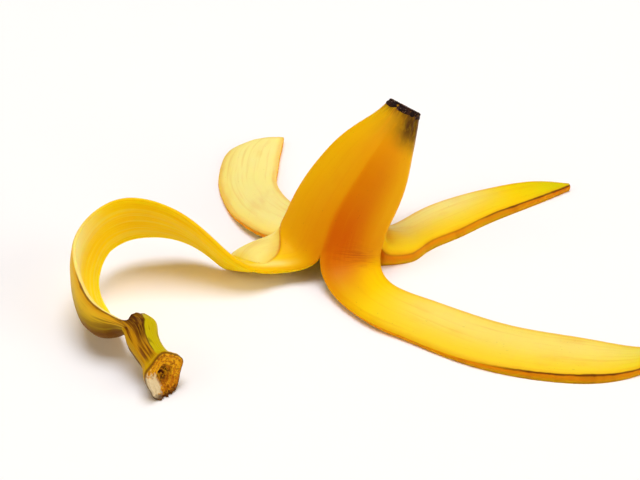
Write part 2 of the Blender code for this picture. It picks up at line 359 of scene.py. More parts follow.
def conePoints(distance, azimuth):
    stations = np.array(peel["cone"])
    knots = runLengths(stations[:, :3])
    near = spline(knots, stations, distance)
    ahead, behind = (spline(knots, stations[:, :3], distance + step) for step in (0.2, -0.2))
    heading = unit(ahead - behind)
    rightward = unit(np.array([1.0, 0.0, 0.0]) - heading[:, :1] * heading)
    backward = np.cross(rightward, heading)
    angle = np.radians(azimuth)[:, None]
    fromRidge = angle - math.radians(peel["ridgeAzimuth"])
    ridge = 1 + peel["ridgeHeight"] * np.cos(peel["ridges"] * fromRidge)
    return near[:, :3] + ridge * (
        near[:, 3:4] * np.cos(angle) * rightward + near[:, 4:5] * np.sin(angle) * backward
    )


def stationEdges(stations):
    middle = stations[:, :3]
    knots = runLengths(middle)
    ahead = spline(knots, middle, np.minimum(knots + 0.5, knots[-1]))
    behind = spline(knots, middle, np.maximum(knots - 0.5, 0.0))
    heading = unit(ahead - behind)
    level = unit(np.cross([0.0, 0.0, 1.0], heading))
    lift = np.cross(heading, level)
    bank, slant = np.radians(stations[:, 4:5]), np.radians(stations[:, 6:7])
    across = np.cos(bank) * level + np.sin(bank) * lift
    across = np.cos(slant) * across + np.sin(slant) * heading
    half = stations[:, 3:4] / 2
    return middle - across * half, middle + across * half


def acrossSteps(width, faceSize):
    # columns across a strip, closer together where its torn edges round over
    first = np.array(peel["edgeColumns"]) / width
    count = round((1 - 2 * first[-1]) * width / faceSize)
    middle = np.linspace(first[-1], 1 - first[-1], count + 1)
    return np.concatenate([first[:-1], middle, 1 - first[-2::-1]])


def foldOffsets(grid, at, across):
    # the skin laps over itself where the stem strip turns out from under the cone
    scale = np.array([1, fold["width"]])
    line = np.array(fold["line"])
    knots = runLengths(line[:, :2] * scale)
    line = spline(knots, line, np.linspace(0, knots[-1], fold["steps"]))
    course = line[:, :2] * scale
    forward = unit(np.gradient(course, axis=0))
    place = np.stack(np.broadcast_arrays(at[:, None], across[None] * fold["width"]), axis=-1)
    apart = place[:, :, None] - course
    nearest = np.argmin((apart**2).sum(axis=-1), axis=-1)
    apart = np.take_along_axis(apart, nearest[:, :, None, None], axis=2)[:, :, 0]
    ahead = forward[nearest]
    side = np.sign(ahead[..., 0] * apart[..., 1] - ahead[..., 1] * apart[..., 0])
    away = side * np.linalg.norm(apart, axis=-1)
    strength, colour = np.clip(line[nearest, 2], 0, 1), np.clip(line[nearest, 3], 0, 1)
    lip = fold["lip"] * hump(away, 0, fold["lipReach"])
    dip = -fold["dip"] * hump(away, 0, fold["dipReach"])
    lapped = rise(away, -fold["step"], 2 * fold["step"])
    outward = unit(np.cross(np.gradient(grid, axis=0), np.gradient(grid, axis=1)))
    nearFade = ease((1 - across[None]) * fold["width"] / fold["nearFade"])
    height = strength * nearFade * (lip * lapped + dip * (1 - lapped))
    return height[..., None] * outward, away, colour


def stripEdges(name):
    # both torn edges of a strip with the crown between them, at mm past the tears
    strip = strips[name]
    stations = np.array(strip["stations"], dtype=float)
    edges, runs = [], []
    for edge, tear in zip(stationEdges(stations), strip["between"]):
        azimuth, depth = peel["tears"][tear]
        leadIn = depth - np.array(peel["leadIn"])
        lead = conePoints(leadIn, np.full(len(leadIn), azimuth))
        points = np.vstack([lead, edge])
        run = runLengths(points)
        edges.append(points)
        runs.append(run - run[len(leadIn) - 1])
    knots = (runs[0] + runs[1]) / 2
    at = np.linspace(0.0, knots[-1], round(knots[-1] / strip["faceSize"]) + 1)
    first, second = (spline(knots, points, at) for points in edges)
    if "spread" in strip:
        first = first + column(strip["spread"], at, 1)[:, None] * unit(first - second)
        first[:, 0] += column(strip["spread"], at, 2)
    crowns = np.concatenate([stations[:1, 5], stations[:, 5]])
    crown = spline(np.concatenate([[0.0], knots[len(leadIn):]]), crowns[:, None], at)
    return at, first, second, crown


def crownedGrid(at, first, second, crown, across, arc):
    # the strip keeps the round of the fruit at the tear and relaxes into a low crown
    heading = unit(np.gradient((first + second) / 2, at, axis=0))
    widthWay = unit(second - first)
    outward = unit(np.cross(heading, widthWay))
    chord = np.linalg.norm(second - first, axis=1)[:, None]
    lean = arc - (first[0] + (second[0] - first[0]) * across[:, None])
    kept = np.stack([lean @ outward[0], lean @ widthWay[0], lean @ heading[0]], axis=1) / chord[0]
    opened = ease(at / peel["tubeMemory"])[:, None]
    halfAngle = np.radians(crown)
    radius = chord / 2 / np.sin(halfAngle)
    angle = (2 * across[None] - 1) * halfAngle
    high = radius * (np.cos(angle) - np.cos(halfAngle))
    slide = radius * np.sin(angle) - (across[None] - 0.5) * chord
    memory = chord * (1 - opened)
    return (
        first[:, None]
        + (second - first)[:, None] * across[None, :, None]
        + (memory * kept[:, 0] + opened * high)[..., None] * outward[:, None]
        + (memory * kept[:, 1] + opened * slide)[..., None] * widthWay[:, None]
        + (memory * kept[:, 2])[..., None] * heading[:, None]
    )


def stripGrid(name):
    # a strip with its share of the cone, and what each point is told about where it lies
    strip = strips[name]
    tears = [peel["tears"][tear] for tear in strip["between"]]
    azimuths, depths = [tear[0] for tear in tears], [tear[1] for tear in tears]
    if azimuths[1] < azimuths[0]:
        azimuths[0] -= 360
    across = acrossSteps(peel["usualWidth"], strip["faceSize"])
    depthAcross = depths[0] + (depths[1] - depths[0]) * across
    azimuthAcross = azimuths[0] + (azimuths[1] - azimuths[0]) * across

    at, first, second, crown = stripEdges(name)
    grid = crownedGrid(at, first, second, crown, across, conePoints(depthAcross, azimuthAcross))

    share = (np.arange(peel["coneRows"]) / peel["coneRows"])[:, None]
    coneDistance = share * depthAcross
    coneAzimuth = np.broadcast_to(azimuthAcross, coneDistance.shape)
    cone = conePoints(coneDistance.ravel(), coneAzimuth.ravel()).reshape(*coneDistance.shape, 3)
    grid = np.concatenate([cone, grid])
    at = np.concatenate([np.mean(depths) * (share[:, 0] - 1), at])
    widths = np.linalg.norm(grid[:, -1] - grid[:, 0], axis=1)

    # the bend at the tears is rounded over, away from the seams
    inside = ease(np.minimum(across, 1 - across) * 8)
    softened = hump(at, 0, peel["bendReach"])[:, None] * inside[None]
    for _ in range(peel["bendRounds"]):
        middle = (grid[:-2] + grid[2:]) / 2
        grid[1:-1] += peel["bendStrength"] * softened[1:-1, :, None] * (middle - grid[1:-1])

    distance = np.concatenate([coneDistance, depthAcross + at[len(share):, None]])
    toSide = np.minimum(across, 1 - across)[None] * widths[:, None]
    before = np.maximum(depthAcross - distance, 0)
    toEnd = (at[-1] - at)[:, None] + 0 * toSide
    nearSide = across if strip["near"] == "second" else 1 - across
    facts = {
        "distance": distance,
        "azimuth": np.broadcast_to(azimuthAcross, distance.shape),
        "past": np.broadcast_to(at[:, None], distance.shape),
        "across": np.broadcast_to(across, distance.shape),
        "edge": np.minimum(np.hypot(toSide, before), toEnd),
        "toEnd": toEnd,
        "strip": np.full(distance.shape, float(list(strips).index(name))),
        "fold": np.full(distance.shape, 99.0),
        "foldStrength": np.zeros(distance.shape),
        "nearSide": np.broadcast_to(nearSide, distance.shape),
    }
    offsets = np.zeros_like(grid)
    if name == "stem":
        offsets, facts["fold"], facts["foldStrength"] = foldOffsets(grid, at, across)
    return grid, offsets + edgeOffsets(strip, grid, at, widths, facts), facts


def edgeOffsets(strip, grid, at, widths, facts):
    # the skin's near edge is torn back further than the pith under it, or rolls down over it
    flat = [(0, 0, 0), (1, 0, 0)]
    shoulder = np.exp(-(1 - facts["nearSide"]) * widths[:, None] / peel["shoulder"])
    inwards = unit(grid[:, :1] - grid[:, -1:]) * (1 if strip["near"] == "second" else -1)
    offsets = (shoulder * column(strip.get("lean", flat), at, 1)[:, None])[..., None] * inwards
    offsets[..., 2] -= shoulder * column(strip.get("lean", flat), at, 2)[:, None]
    # the pith under it may stand out and reach down
    facts["footOut"] = shoulder * column(strip.get("foot", flat), at, 1)[:, None]
    facts["footDown"] = shoulder * column(strip.get("foot", flat), at, 2)[:, None]
    facts["inwardX"] = np.broadcast_to(inwards[..., 0], shoulder.shape)
    facts["inwardY"] = np.broadcast_to(inwards[..., 1], shoulder.shape)
    return offsets


def surfaceNormals(points, quads):
    one, two, three, four = (points[quads[:, corner]] for corner in range(4))
    diagonal = np.cross(three - one, four - two)
    total = np.zeros_like(points)
    for corner in range(4):
        np.add.at(total, quads[:, corner], diagonal)
    return unit(total)


def joinStrips():
    # all four strips as one surface, joined along the seams of the cone
    points, offsets, facts, quads, borders = [], [], {}, [], []
    start = 0
    for name in strips:
        grid, offset, known = stripGrid(name)
        rows, columns = grid.shape[:2]
        index = start + np.arange(rows * columns).reshape(rows, columns)
        start += rows * columns
        points.append(grid.reshape(-1, 3))
        offsets.append(offset.reshape(-1, 3))
        for key, value in known.items():
            facts.setdefault(key, []).append(np.ravel(value))
        corners = [index[:-1, :-1], index[1:, :-1], index[1:, 1:], index[:-1, 1:]]
        quads.append(np.stack(corners, axis=-1).reshape(-1, 4))
        tear = peel["coneRows"]
        borders.append(np.concatenate([index[tear:, 0], index[-1, 1:], index[tear:-1, -1][::-1]]))
    points, offsets, quads = np.concatenate(points), np.concatenate(offsets), np.concatenate(quads)
    facts = {key: np.concatenate(value) for key, value in facts.items()}
    _, chosen, merged = np.unique(np.round(points, 4), axis=0, return_index=True, return_inverse=True)
    merged = merged.reshape(-1)
    return (
        points[chosen],
        offsets[chosen],
        {key: value[chosen] for key, value in facts.items()},
        merged[quads],
        [merged[border] for border in borders],
    )


def fruitPlace(facts):
    # where a point lay on the whole fruit, so that streaks run from the cone into the strips
    angle = np.radians(facts["azimuth"])
    reach = peel["fruitRadius"]
    return np.stack([reach * np.cos(angle), reach * np.sin(angle), facts["distance"]], axis=1)


skinRelief = {
    # depth in mm, then how big the bumps are along each axis
    "waves": (0.28, (22, 22, 22)),
    "streaks": (0.07, (3.2, 3.2, 38)),
    "shrivel": (0.45, (3.6, 3.6, 14)),
    "shrivelReach": 15,
    # the ridges of the fruit, in mm and degrees
    "crest": 0.75,
    "crestWidth": 9,
    # creases pressed into the bend in front: depth and spacing in mm
    "crease": 0.06,
    "creaseStep": 1.9,
    # how the skin rounds over at a torn edge
    "edgeDrop": 0.22,
    "edgeReach": 0.35,
}


def skinDetail(points, facts):
    fruit = fruitPlace(facts)
    distance, azimuth, past = facts["distance"], facts["azimuth"], facts["past"]
    relief = skinRelief
    detail = relief["waves"][0] * rise(past, 0, 25) * bumps(points, relief["waves"][1], 1)
    detail += relief["streaks"][0] * bumps(fruit, relief["streaks"][1], 2)
    # the ridges of the fruit come to a soft crest
    apart = 360 / peel["ridges"]
    turn = (azimuth - peel["ridgeAzimuth"] + apart / 2) % apart - apart / 2
    crest = np.exp(-np.abs(turn) / relief["crestWidth"]) * rise(distance, 6, 20) * fall(past, -4.8, 12)
    detail += relief["crest"] * crest
    # shrivelled lines below the blossom end
    nearTip = fall(distance, 1, relief["shrivelReach"])
    detail += nearTip * relief["shrivel"][0] * bumps(fruit, relief["shrivel"][1], 3)
    # fine creases pressed into the bend in front
    bend = hump(azimuth, 300, 22) * hump(distance, 56, 7)
    wavy = distance + 1.2 * bumps(fruit, (9, 9, 4), 4)
    detail += relief["crease"] * bend * np.sin(2 * math.pi * wavy / relief["creaseStep"])
    # torn edges round over
    detail -= relief["edgeDrop"] * np.exp(-facts["edge"] / relief["edgeReach"])
    # the skin of the loop stands off a little where it turns under
    swell = column(strips["stem"]["swell"], past, 1) * (facts["strip"] == 0)
    return detail + swell * hump(facts["across"], 0.5, 0.42)


def paintMasks(facts):
    # where the skin is warmer, greener or drier, and where shade, sheen and highlights are painted on,
    # from 0 to 1
    distance, azimuth, near = facts["distance"], facts["azimuth"] % 360, facts["nearSide"]
    past, across, edge, lap = facts["past"], facts["across"], facts["edge"], facts["fold"]
    stemStrip, frontStrip, rightStrip, backStrip = (facts["strip"] == k for k in range(len(strips)))
    farStrips = rightStrip | backStrip
    onCone = fall(past + 4 * rightStrip, -4, 26 + 5 * frontStrip - 15 * farStrips)
    # the far side of the fold gets painted highlight and no painted shade
    tucked = stemStrip * fall(lap, -0.6, 1.2) * rise(past, -20, 14) * fall(past, 24, 10)
    untucked = 1 - tucked
    # painted shade on the front facet of the cone, which faces away from the lamps
    shaded = rise(azimuth, 255, 9) * fall(azimuth, 282, 38) * rise(distance, 8, 25)
    # painted shade: the dark red of the shaded middle runs on over the bend in front
    shaded = np.maximum(shaded, 0.85 * hump(azimuth, 292, 26) * hump(distance, 62, 7))
    low = rise(distance, 30, 25)
    nearHalf = rise(near, 0.5, 0.2)
    # painted sheen on the crowns of the strips
    paintedSheen = 0.3 * stemStrip + 0.55 * frontStrip * hump(across, 0.7, 0.42)
    paintedSheen = paintedSheen + 0.85 * rightStrip * hump(across, 0.9, 0.45) * fall(past, 45, 30)
    paintedSheen = paintedSheen + 1.15 * backStrip * hump(across, 0.42, 0.7)
    paintedSheen = paintedSheen * np.where(farStrips, rise(past, -8, 12), rise(past, 20, 30))
    paintedSheen = paintedSheen + tucked * (0.4 + 0.45 * rise(-lap, 0, 5))
    # painted highlight on the sliver below the crease
    paintedSheen = paintedSheen + 0.8 * stemStrip * hump(across, 0.89, 0.04) * hump(past, 20, 6.5)
    return {
        # orange ripeness all round the cone, with painted shade: deeper orange on its front, which faces
        # away from the lamps
        "ripeAndShade": onCone * (0.42 + 0.42 * hump(azimuth, 275, 55) + 0.14 * low) * untucked,
        "shadedOrange": onCone * shaded * (0.55 + 0.45 * low) * untucked,
        "paintedSheen": np.clip(paintedSheen, 0, 1),
        "green": fall(facts["toEnd"], 0, 30) * (0.55 * frontStrip + rightStrip),
        "olive": stemStrip * rise(past, 90, 24),
        # painted shade in the creases of the shaded bend in front
        "pressed": hump(azimuth, 300, 24) * hump(distance, 61, 5) * untucked,
        "dry": fall(distance, 0, 17) * (0.3 + 0.7 * hump(azimuth, 315, 50)),
        "dark": fall(distance, 0, 7),
        "stain": np.clip(1.4 * hump(azimuth, 320, 42), 0, 1) * fall(distance, 6, 10),
        # pale pith along the torn edges of the loop, with a painted highlight on it
        "cream": rise(past, 80, 25) * stemStrip * hump(edge, 0, 7.0) * (across > 0.5),
        "gold": 1.0 * stemStrip,
        "brownEdge": stemStrip * rise(past, 114, 8) + nearHalf * (
            frontStrip * rise(past, 62, 25)
            + rightStrip * (0.35 + 0.65 * rise(past, 35, 35))
            + backStrip * 0.25 * fall(past, 30, 20)
        ),
        # painted shade on the underside of the loop, which faces down
        "under": stemStrip * rise(past, 104, 18) * fall(across, 0.65, 0.25),
        # painted shade along the loop's lower outline, where it turns away
        "outlineShade": stemStrip * rise(past, 118, 8) * fall(across, 0.58, 0.12),
        "toStem": stemStrip * rise(past, 122, 16),
        # painted shade along the fold's crease
        "crease": hump(lap, 0, 0.55) * facts["foldStrength"],
    }


pithRelief = {
    # depth in mm, then how big the bumps are along each axis
    "strands": (0.22, (2.2, 2.2, 45)),
    "fine": (0.1, (0.9, 0.9, 18)),
}


def innerRelief(facts):
    fruit = fruitPlace(facts)
    depth, sizes = pithRelief["strands"]
    strands = depth * bumps(fruit, sizes, 5)
    depth, sizes = pithRelief["fine"]
    return strands + depth * bumps(fruit, sizes, 6)


def peelThickness(facts):
    # the pith of the stem strip thins out towards its torn edges, less along its lower edge
    onStem = facts["strip"] == 0
    lowerEdge = (facts["across"] < 0.5) * fall(facts["past"], 84, 20)
    thinning = onStem * peel["stemThinning"] * (1 - 0.45 * lowerEdge) * rise(facts["past"], 0, 30)
    return peel["thickness"] * (1 - thinning * hump(facts["edge"], 0, peel["thinReach"]))


def borderGrid(border, outer, inner, normals):
    # the torn edge between skin and pith, bulging a little
    path = (outer[border] + inner[border]) / 2
    forward = unit(np.gradient(path, axis=0))
    sideways = unit(np.cross(forward, normals[border]))
    steps = peel["rimSteps"]
    place = np.arange(len(border))
    ends = np.minimum(place, len(border) - 1 - place)
    bulge = peel["rimBulge"] * ease(ends / 4)
    rough = bumps(path, (2.5, 2.5, 2.5), 8)
    rows = []
    for k in range(1, steps):
        t = k / steps
        swell = (math.sin(math.pi * t) + 0.5 * rough * math.sin(2 * math.pi * t)) * bulge
        fine = 0.1 * bumps(path + 3.0 * t, (0.9, 0.9, 0.9), 9 + k) * ease(ends / 4)
        rows.append(outer[border] * (1 - t) + inner[border] * t + (swell + fine)[:, None] * sideways)
    return rows


def buildPeel():
    points, offsets, facts, quads, borders = joinStrips()
    folded = points + offsets
    skinNormals = surfaceNormals(folded, quads)
    pithNormals = surfaceNormals(points, quads)
    fruit = fruitPlace(facts)
    outer = folded + skinDetail(points, facts)[:, None] * skinNormals
    inner = points - (peelThickness(facts) - innerRelief(facts))[:, None] * pithNormals
    inner[:, 0] -= facts["footOut"] * facts["inwardX"]
    inner[:, 1] -= facts["footOut"] * facts["inwardY"]
    inner[:, 2] -= facts["footDown"]
    outer, inner = outer + toFrame, inner + toFrame
    outer[:, 2] = np.maximum(outer[:, 2], 0)
    inner[:, 2] = np.maximum(inner[:, 2], 0)

    count = len(points)
    vertices = [outer, inner]
    rim = [np.zeros(count), np.ones(count)]
    source = [np.arange(count), np.arange(count)]
    faces = [quads, quads[:, ::-1] + count]
    parts = [np.zeros(len(quads), int), np.full(len(quads), 2)]
    start = 2 * count
    for border in borders:
        rows = borderGrid(border, outer, inner, skinNormals)
        index = [border]
        for k, row in enumerate(rows):
            row[:, 2] = np.maximum(row[:, 2], 0)
            index.append(start + np.arange(len(border)))
            start += len(border)
            vertices.append(row)
            rim.append(np.full(len(border), (k + 1) / peel["rimSteps"]))
            source.append(border)
        index.append(border + count)
        for upper, lower in zip(index, index[1:]):
            strip = np.stack([upper[:-1], lower[:-1], lower[1:], upper[1:]], axis=-1)
            faces.append(strip)
            parts.append(np.full(len(strip), 1))
    vertices, rim, source = np.concatenate(vertices), np.concatenate(rim), np.concatenate(source)
    faces, parts = np.concatenate(faces), np.concatenate(parts)

    data = bpy.data.meshes.new("peel_skin")
    data.from_pydata((vertices * mm).tolist(), [], faces.tolist())
    data.polygons.foreach_set("material_index", parts.astype(np.int32))
    values = {"distance": facts["distance"], "edge": facts["edge"], **paintMasks(facts)}
    values = {key: value[source] for key, value in values.items()}
    values["rim"] = rim
    addValues(data, values)
    vectors = data.attributes.new("fruit", "FLOAT_VECTOR", "POINT")
    vectors.data.foreach_set("vector", fruit[source].astype(np.float32).ravel())
    piece = addPiece("peel_skin", data)
    closeTip(piece)
    return piece


def addValues(data, values):
    for name, value in values.items():
        layer = data.attributes.new(name, "FLOAT", "POINT")
        layer.data.foreach_set("value", value.astype(np.float32))


def addPiece(name, data):
    piece = bpy.data.objects.new(name, data)
    bpy.context.scene.collection.objects.link(piece)
    data.shade_smooth()
    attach(piece, "root")
    return piece


def closeTip(piece):
    # the seams of the notches are welded, and the open ring at the blossom end is filled
    work = bmesh.new()
    work.from_mesh(piece.data)
    bmesh.ops.remove_doubles(work, verts=work.verts, dist=peel["seamGap"] * mm)
    openEdges = [edge for edge in work.edges if edge.is_boundary]
    filled = bmesh.ops.holes_fill(work, edges=openEdges, sides=0)["faces"]
    bmesh.ops.poke(work, faces=filled)
    bmesh.ops.recalc_face_normals(work, faces=work.faces)
    print("blossom end closed over", len(openEdges), "edges")
    work.to_mesh(piece.data)
    work.free()


def feed(tree, socket, value):
    # a socket takes a number, a colour or another node's output
    if isinstance(value, bpy.types.NodeSocket):
        tree.links.new(value, socket)
    else:
        socket.default_value = value


def fact(tree, name):
    # one of the values that each point of the mesh carries
    read = tree.nodes.new("ShaderNodeAttribute")
    read.attribute_name = name
    return read.outputs["Vector"] if name == "fruit" else read.outputs["Fac"]


def calc(tree, operation, one, other=0.0):
    made = tree.nodes.new("ShaderNodeMath")
    made.operation = operation
    feed(tree, made.inputs[0], one)
    feed(tree, made.inputs[1], other)
    return made.outputs[0]


def times(tree, one, *others):
    for other in others:
        one = calc(tree, "MULTIPLY", one, other)
    return one


def fade(tree, value, start, end, low=0.0, high=1.0):
    # low up to start, high from end on, and smooth between them
    made = tree.nodes.new("ShaderNodeMapRange")
    made.interpolation_type = "SMOOTHSTEP"
    feed(tree, made.inputs["Value"], value)
    for socket, number in zip(("From Min", "From Max", "To Min", "To Max"), (start, end, low, high)):
        made.inputs[socket].default_value = number
    return made.outputs[0]


def blend(tree, factor, one, other, kind="MIX"):
    made = tree.nodes.new("ShaderNodeMix")
    made.data_type = "RGBA"
    made.blend_type = kind
    feed(tree, made.inputs[0], factor)
    for socket, colour in ((made.inputs[6], one), (made.inputs[7], other)):
        feed(tree, socket, (*colour, 1.0) if isinstance(colour, tuple) else colour)
    return made.outputs[2]


def grain(tree, place, sizes, detail=2.0, offset=0.0):
    # noise around 0.5; sizes are how big its blotches are along each axis of place, in mm
    move = tree.nodes.new("ShaderNodeMapping")
    move.inputs["Scale"].default_value = [1 / size for size in sizes]
    move.inputs["Location"].default_value = (offset, offset * 0.7, offset * 0.3)
    feed(tree, move.inputs["Vector"], place)
    made = tree.nodes.new("ShaderNodeTexNoise")
    made.inputs["Scale"].default_value = 1.0
    made.inputs["Detail"].default_value = detail
    tree.links.new(move.outputs[0], made.inputs["Vector"])
    return made.outputs["Fac"]


def newFinish(name, roughness, gloss, glow=0.0, depth=3.0):
    material = bpy.data.materials.new(name)
    material.use_nodes = True
    shader = material.node_tree.nodes["Principled BSDF"]
    shader.inputs["Roughness"].default_value = roughness
    shader.inputs["Specular IOR Level"].default_value = gloss
    shader.inputs["Subsurface Weight"].default_value = glow
    shader.inputs["Subsurface Radius"].default_value = (1.0, 0.45, 0.04)
    shader.inputs["Subsurface Scale"].default_value = depth * mm
    return material, material.node_tree, shader


def addBump(tree, shader, heights):
    # heights are pairs of a noise and its depth in mm
    total = 0.0
    for height, depth in heights:
        total = calc(tree, "ADD", times(tree, height, depth), total)
    made = tree.nodes.new("ShaderNodeBump")
    made.inputs["Distance"].default_value = mm
    tree.links.new(total, made.inputs["Height"])
    tree.links.new(made.outputs["Normal"], shader.inputs["Normal"])


skinColours = {
    "yellow": (0.96, 0.66, 0.002),
    "orange": (0.76, 0.28, 0.001),
    "shadedOrange": (0.66, 0.14, 0.001),
    "paintedSheen": (0.98, 0.84, 0.28),
    "olive": (0.42, 0.32, 0.01),
    "green": (0.68, 0.63, 0.004),
    "brown": (0.16, 0.05, 0.004),
    "stain": (0.10, 0.042, 0.003),
    "mustard": (0.78, 0.50, 0.003),
    "underShade": (0.33, 0.21, 0.003),
    "pressed": (0.46, 0.08, 0.001),
    "edge": (0.20, 0.06, 0.004),
}


def skinFinish():
    material, tree, shader = newFinish("ripe skin", 0.42, 0.05, 0.4)
    c = skinColours
    fruit = fact(tree, "fruit")
    streaks = grain(tree, fruit, (1.3, 1.3, 34), 3)
    fine = grain(tree, fruit, (0.45, 0.45, 9), 2, 3)
    blotches = grain(tree, fruit, (7, 7, 16), 3, 7)
    # orange of the ripe cone, deepened on its front as painted shade
    colour = blend(tree, fact(tree, "ripeAndShade"), c["yellow"], c["orange"])
    # painted shade in dark orange on the cone's front and along the fold's crease
    colour = blend(tree, fact(tree, "shadedOrange"), colour, c["shadedOrange"])
    # painted sheen and highlights, pale and a little white
    colour = blend(tree, fact(tree, "paintedSheen"), colour, c["paintedSheen"])
    colour = blend(tree, fade(tree, streaks, 0.52, 0.75, 0, 0.22), colour, c["orange"])
    colour = blend(tree, fade(tree, blotches, 0.5, 0.75, 0, 0.18), colour, c["orange"])
    colour = blend(tree, fact(tree, "green"), colour, c["green"])
    # painted shade in the crease of the fold
    colour = blend(tree, times(tree, fact(tree, "crease"), 0.75), colour, c["shadedOrange"])
    colour = blend(tree, times(tree, fact(tree, "olive"), 0.75), colour, c["mustard"])
    # painted shade on the loop's underside
    colour = blend(tree, times(tree, fact(tree, "under"), 0.85), colour, c["underShade"])
    # painted shade along the loop's lower outline
    colour = blend(tree, times(tree, fact(tree, "outlineShade"), 0.85), colour, c["brown"])
    strokes = fade(tree, grain(tree, fruit, (1.3, 1.3, 14), 2, 17), 0.42, 0.62)
    colour = blend(tree, times(tree, fact(tree, "toStem"), strokes, 0.6), colour, c["brown"])
    # painted shade in the creases pressed into the bend in front
    lines = fade(tree, grain(tree, fruit, (6, 6, 0.55), 2, 13), 0.45, 0.62)
    lines = times(tree, fact(tree, "pressed"), calc(tree, "ADD", times(tree, lines, 0.55), 0.15))
    colour = blend(tree, lines, colour, c["pressed"])
    # freckles
    dots = fade(tree, grain(tree, fruit, (0.6, 0.6, 1.2), 1, 11), 0.74, 0.8, 0, 0.25)
    colour = blend(tree, dots, colour, c["brown"])
    # dried and stained below the blossom end
    spots = fade(tree, grain(tree, fruit, (2.2, 2.2, 7), 4, 5), 0.3, 0.6, 0.35, 1)
    colour = blend(tree, times(tree, fact(tree, "dry"), spots), colour, c["olive"])
    spots = fade(tree, grain(tree, fruit, (1.2, 1.2, 4), 4, 9), 0.35, 0.6, 0.3, 1)
    colour = blend(tree, times(tree, fact(tree, "dark"), spots), colour, c["brown"])
    spots = fade(tree, grain(tree, fruit, (2.6, 2.6, 2.2), 3, 15), 0.35, 0.55, 0.75, 1)
    colour = blend(tree, times(tree, fact(tree, "stain"), spots), colour, c["stain"])
    colour = blend(tree, fade(tree, fact(tree, "distance"), 0.3, 1.0, 0.95, 0), colour, blossom["brown"])
    # the torn border has dried brown
    wander = times(tree, grain(tree, fruit, (1.5, 1.5, 3), 3, 2), -0.9)
    ragged = calc(tree, "ADD", fact(tree, "edge"), wander)
    line = times(tree, fade(tree, ragged, -0.25, 0.2, 0.85, 0), fact(tree, "brownEdge"))
    colour = blend(tree, fade(tree, ragged, 0.0, 2.2, 0.35, 0), colour, c["orange"])
    colour = blend(tree, line, colour, c["edge"])
    tree.links.new(colour, shader.inputs["Base Color"])
    tree.links.new(fade(tree, blotches, 0.3, 0.7, 0.36, 0.5), shader.inputs["Roughness"])
    pores = grain(tree, fruit, (0.3, 0.3, 0.5), 2, 4)
    addBump(tree, shader, [(fine, 0.05), (streaks, 0.08), (pores, 0.03)])
    return material


edgeColours = {
    "skinLine": (0.10, 0.03, 0.003),
    "upper": (0.86, 0.32, 0.002),
    "lower": (0.94, 0.40, 0.003),
    "dark": (0.50, 0.15, 0.002),
    "gold": (0.93, 0.55, 0.003),
}


def edgeFinish():
    material, tree, shader = newFinish("torn edge", 0.6, 0.06, 0.8, 6.0)
    c = edgeColours
    fruit = fact(tree, "fruit")
    strands = grain(tree, fruit, (1.5, 1.5, 7), 4, 1)
    colour = blend(tree, fade(tree, fact(tree, "rim"), 0.25, 0.8), c["upper"], c["lower"])
    colour = blend(tree, fade(tree, strands, 0.45, 0.7, 0, 0.45), colour, c["dark"])
    colour = blend(tree, times(tree, fact(tree, "brownEdge"), 0.2), colour, c["dark"])
    colour = blend(tree, fact(tree, "gold"), colour, c["gold"])
    # pale pith with a painted highlight near the loop's torn edges
    colour = blend(tree, times(tree, fact(tree, "cream"), 0.7), colour, pithColours["cream"])
    line = calc(tree, "ADD", fact(tree, "rim"), times(tree, strands, -0.25))
    line = times(tree, fade(tree, line, -0.1, 0.08, 0.9, 0), fact(tree, "brownEdge"))
    colour = blend(tree, line, colour, c["skinLine"])
    tree.links.new(colour, shader.inputs["Base Color"])
    addBump(tree, shader, [(strands, 0.35), (grain(tree, fruit, (0.4, 0.4, 1.5), 2, 6), 0.12)])
    return material


pithColours = {
    "golden": (0.98, 0.66, 0.003),
    "fibre": (0.96, 0.72, 0.07),
    "cream": (0.98, 0.80, 0.32),
    "groove": (0.90, 0.52, 0.004),
}


def pithFinish():
    material, tree, shader = newFinish("inner pith", 0.55, 0.05, 1.0, 9.0)
    c = pithColours
    fruit = fact(tree, "fruit")
    strands = grain(tree, fruit, (1.5, 1.5, 60), 3, 2)
    fine = grain(tree, fruit, (0.5, 0.5, 22), 3, 4)
    colour = blend(tree, fade(tree, strands, 0.48, 0.62, 0, 0.6), c["golden"], c["fibre"])
    colour = blend(tree, fade(tree, fine, 0.35, 0.5, 0.45, 0), colour, c["groove"])
    # pale pith with a painted highlight near the loop's torn edges
    colour = blend(tree, fact(tree, "cream"), colour, c["cream"])
    tree.links.new(colour, shader.inputs["Base Color"])
    addBump(tree, shader, [(strands, 0.2), (fine, 0.12)])
    return material


blossom = {
    "around": 96,
    # share of the cone's own radius and height above its end, from the skin inwards
    "profile": [
        (0.96, -2.9), (1.02, -2.3), (1.05, -1.4), (1.04, -0.6), (0.97, 0.0), (0.87, 0.1),
        (0.76, -0.2), (0.64, -0.6), (0.48, -0.8), (0.25, -0.9), (0.03, -1.0),
    ],
    "rows": 44,
    # height of the lumps and of the finer crust on them, and the way they lean
    "lumps": 0.42,
    "crust": 0.22,
    "lean": (0.47, 0.39, 0.79),
    "black": (0.008, 0.002, 0.002),
    "brown": (0.05, 0.016, 0.008),
    "grey": (0.42, 0.25, 0.18),
}


def ringMesh(name, rows, closeEnd):
    # rings of points joined into a skin; closeEnd fills the last ring with a point
    count = rows.shape[1]
    points = rows.reshape(-1, 3)
    index = np.arange(len(points)).reshape(len(rows), count)
    following = np.roll(index, -1, axis=1)
    corners = [index[:-1], index[1:], following[1:], following[:-1]]
    faces = np.stack(corners, axis=-1).reshape(-1, 4).tolist()
    if closeEnd:
        points = np.vstack([points, rows[-1].mean(axis=0)])
        faces += [(one, len(points) - 1, other) for one, other in zip(index[-1], following[-1])]
    data = bpy.data.meshes.new(name)
    data.from_pydata((points * mm).tolist(), [], [tuple(int(i) for i in face) for face in faces])
    return data


